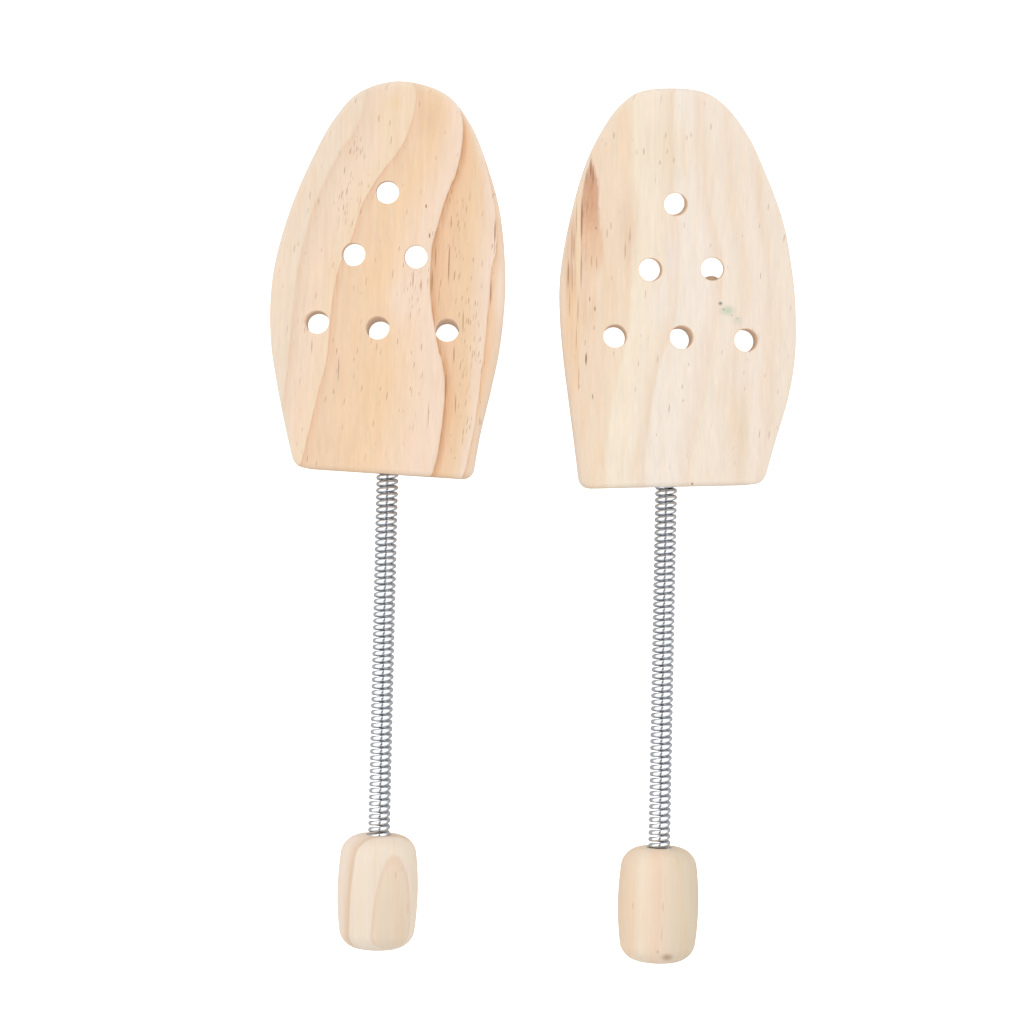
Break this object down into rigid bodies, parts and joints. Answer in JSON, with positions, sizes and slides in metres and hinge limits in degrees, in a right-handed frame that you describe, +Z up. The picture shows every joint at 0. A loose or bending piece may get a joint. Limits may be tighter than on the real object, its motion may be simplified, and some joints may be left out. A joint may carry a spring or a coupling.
{
  "type": "spiral spring shoe tree",
  "caption": "Wooden shoe trees for a left and a right shoe: each has a flat vented toe block, a spiral spring that bends and compresses, and a turned heel knob.",
  "frame": {"origin": "the middle of the pair's footprint, on the surface that the flat soles lie on", "axes": "+Z up, out of the table; +Y towards the toes, close to each spring's line; +X from the left tree to the right tree"},
  "size_m": [0.1808, 0.304, 0.0297],
  "materials": {
    "left_block_pine": "satin, bare sanded pine",
    "right_block_pine": "satin, bare sanded pine",
    "left_knob_pine": "satin, bare sanded pine",
    "right_knob_pine": "satin, bare sanded pine",
    "spring_steel": "bright zinc-plated wire",
    "peg_beech": "plain dowel"
  },
  "bodies": {
    "left_toe": {"left_toe_block": "left_block_pine", "left_toe_peg": "peg_beech"},
    "left_coil": {"left_spring": "spring_steel"},
    "left_heel": {"left_heel_knob": "left_knob_pine", "left_heel_peg": "peg_beech"},
    "right_toe": {"right_toe_block": "right_block_pine", "right_toe_peg": "peg_beech"},
    "right_coil": {"right_spring": "spring_steel"},
    "right_heel": {"right_heel_knob": "right_knob_pine", "right_heel_peg": "peg_beech"}
  },
  "joints": [
    {"name": "left_spring_bend", "type": "hinge", "parent": "left_toe", "child": "left_coil", "pos_m": [-0.05042, -0.00879, 0.014], "axis": [-0.9997, 0.0234, 0], "range_deg": [-75, 75], "stiffness_Nm_per_rad": 0.17, "deforming": ["left_spring"]},
    {"name": "left_spring_compress", "type": "slide", "parent": "left_coil", "child": "left_heel", "axis": [0.0234, 0.9997, 0], "range_m": [-0.01, 0.01], "stiffness_N_per_m": 7300, "deforming": ["left_spring"]},
    {"name": "right_tree_lift", "type": "slide", "parent": "left_toe", "child": "right_toe", "axis": [0, 0, 1], "range_m": [0, 0.12]},
    {"name": "right_spring_bend", "type": "hinge", "parent": "right_toe", "child": "right_coil", "pos_m": [0.04547, -0.0132, 0.014], "axis": [-0.9998, 0.0195, 0], "range_deg": [-75, 75], "stiffness_Nm_per_rad": 0.17, "deforming": ["right_spring"]},
    {"name": "right_spring_compress", "type": "slide", "parent": "right_coil", "child": "right_heel", "axis": [0.0195, 0.9998, 0], "range_m": [-0.01, 0.01], "stiffness_N_per_m": 7300, "deforming": ["right_spring"]}
  ]
}
